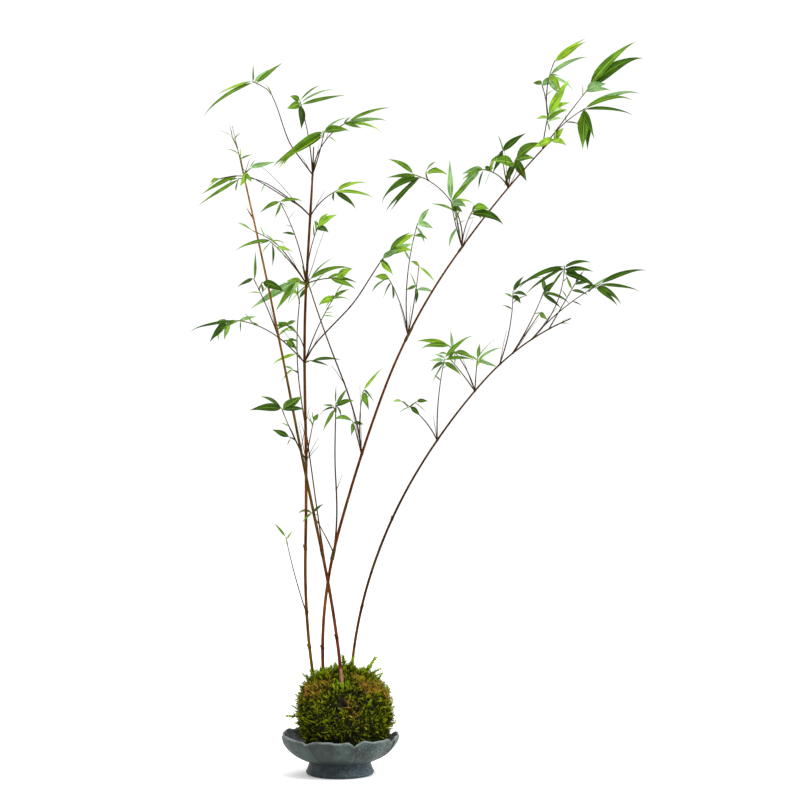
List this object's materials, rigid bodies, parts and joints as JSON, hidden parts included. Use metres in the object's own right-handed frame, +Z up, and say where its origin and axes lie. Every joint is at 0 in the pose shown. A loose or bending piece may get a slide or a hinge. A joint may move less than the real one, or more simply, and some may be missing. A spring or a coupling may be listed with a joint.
{
  "type": "bamboo in a moss ball on a dish",
  "caption": "Tall thin bamboo canes with sparse sprays of narrow leaves, growing out of a round ball of moss that sits in a low footed dish with petal-shaped walls.",
  "frame": {"origin": "middle of the flat underside of the dish, on the surface that the plant stands on", "axes": "+Z up, -Y to the front, from which the crown shows widest, +X to the right of that view"},
  "size_m": [0.5515, 0.2288, 0.8912],
  "materials": {
    "dish": "matte",
    "moss": "matte",
    "cane": "satin",
    "tan_cane": "satin",
    "dark_cane": "satin",
    "foliage": "matte"
  },
  "bodies": {
    "root": {"lotus_dish": "dish", "moss_ball": "moss", "upright_cane": "cane", "leaning_cane": "tan_cane", "long_cane": "cane", "arching_cane": "dark_cane", "thin_cane": "cane", "straight_bough": "cane", "crossing_bough": "cane", "reaching_bough": "cane", "upright_low_spray": "foliage", "upright_first_spray": "foliage", "upright_second_spray": "foliage", "upright_third_spray": "foliage", "upright_fourth_spray": "foliage", "upright_top_spray": "foliage", "leaning_middle_spray": "foliage", "leaning_high_spray": "foliage", "leaning_tip_spray": "foliage", "thin_middle_spray": "foliage", "thin_tip_spray": "foliage", "long_first_spray": "foliage", "long_second_spray": "foliage", "long_third_spray": "foliage", "long_fourth_spray": "foliage", "long_fifth_spray": "foliage", "long_tip_spray": "foliage", "straight_tip_spray": "foliage", "crossing_tip_spray": "foliage", "reaching_tip_spray": "foliage", "arching_first_spray": "foliage", "arching_second_spray": "foliage", "arching_third_spray": "foliage", "arching_fourth_spray": "foliage", "arching_fifth_spray": "foliage", "arching_tip_spray": "foliage"}
  },
  "joints": []
}
